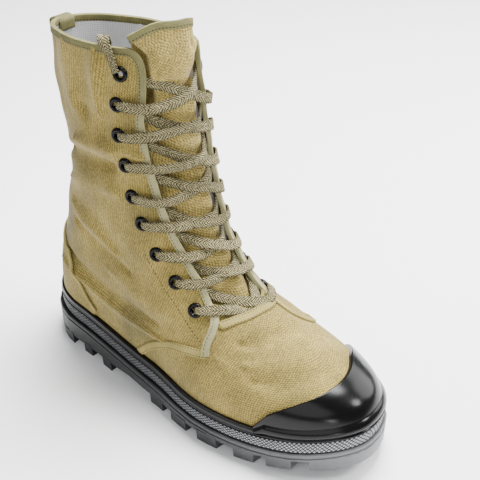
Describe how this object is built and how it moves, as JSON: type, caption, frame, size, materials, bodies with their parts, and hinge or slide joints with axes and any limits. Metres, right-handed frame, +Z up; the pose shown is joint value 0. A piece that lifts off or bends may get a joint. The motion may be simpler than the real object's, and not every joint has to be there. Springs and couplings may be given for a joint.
{
  "type": "combat boot",
  "caption": "Right lace-up canvas combat boot with a black rubber toe cap, a rubber band round the foot and a deeply lugged sole.",
  "frame": {"origin": "on the floor, under the middle of the sole's outline", "axes": "+Z up, toe towards -Y, heel towards +Y, the wearer's outer side at -X"},
  "size_m": [0.1138, 0.3, 0.2847],
  "materials": {
    "upper_canvas": "matte woven khaki canvas",
    "sole_rubber": "matte black moulded rubber",
    "insole_board": "light grey brushed cloth",
    "tongue_canvas": "matte woven khaki canvas",
    "foxing_rubber": "black rubber tape with a knurled strip",
    "cap_rubber": "glossy smooth black rubber",
    "counter_canvas": "matte woven khaki canvas",
    "edge_tape": "ribbed cotton tape",
    "black_eyelet": "glossy black rolled eyelet",
    "lace_cotton": "flat braided cotton",
    "lace_end_cotton": "flat braided cotton",
    "loop_webbing": "woven cotton webbing"
  },
  "bodies": {
    "root": {"outsole": "sole_rubber", "foxing": "foxing_rubber", "toe_cap": "cap_rubber", "upper": "upper_canvas", "insole": "insole_board", "tongue": "tongue_canvas", "heel_counter": "counter_canvas", "quarter_tape_lateral": "edge_tape", "quarter_tape_medial": "edge_tape", "vamp_tape": "edge_tape", "throat_tape_lateral": "edge_tape", "throat_tape_medial": "edge_tape", "collar_tape": "edge_tape", "pull_loop": "loop_webbing", "lace_bar": "lace_cotton", "lace_end": "lace_end_cotton", "eyelet_lateral_1": "black_eyelet", "eyelet_lateral_2": "black_eyelet", "eyelet_lateral_3": "black_eyelet", "eyelet_lateral_4": "black_eyelet", "eyelet_lateral_5": "black_eyelet", "eyelet_lateral_6": "black_eyelet", "eyelet_lateral_7": "black_eyelet", "eyelet_lateral_8": "black_eyelet", "eyelet_lateral_9": "black_eyelet", "eyelet_medial_1": "black_eyelet", "eyelet_medial_2": "black_eyelet", "eyelet_medial_3": "black_eyelet", "eyelet_medial_4": "black_eyelet", "eyelet_medial_5": "black_eyelet", "eyelet_medial_6": "black_eyelet", "eyelet_medial_7": "black_eyelet", "eyelet_medial_8": "black_eyelet", "eyelet_medial_9": "black_eyelet", "lace_crossing_1": "lace_cotton", "lace_crossing_2": "lace_cotton", "lace_crossing_3": "lace_cotton", "lace_crossing_4": "lace_cotton", "lace_crossing_5": "lace_cotton", "lace_crossing_6": "lace_cotton", "lace_crossing_7": "lace_cotton", "lace_crossing_8": "lace_cotton"}
  },
  "joints": []
}
